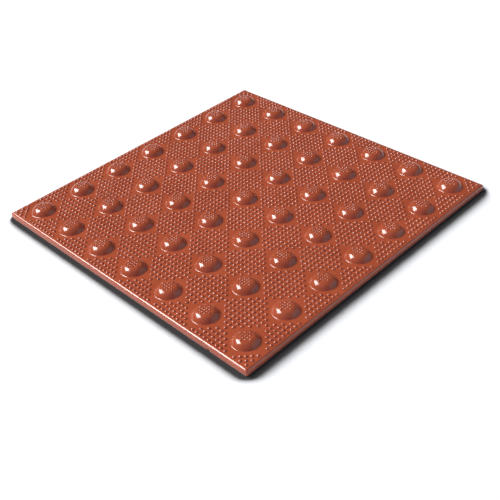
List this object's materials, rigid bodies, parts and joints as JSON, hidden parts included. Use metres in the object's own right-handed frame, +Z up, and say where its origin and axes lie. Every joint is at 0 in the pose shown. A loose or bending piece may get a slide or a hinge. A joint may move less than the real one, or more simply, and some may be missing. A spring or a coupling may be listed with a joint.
{
  "type": "tactile paving slab",
  "caption": "Thin square warning paving slab with a grid of raised flat-topped domes and a rounded rim; laid flat underfoot so that people feel and see a hazard ahead.",
  "frame": {"origin": "middle of the underside", "axes": "+Z up, out of the domed face; X and Y along the sides of the square"},
  "size_m": [0.3, 0.3, 0.0105],
  "materials": {
    "moulded_red": "glossy terracotta red, coloured through"
  },
  "bodies": {
    "root": {"tactile_slab": "moulded_red"}
  },
  "joints": []
}
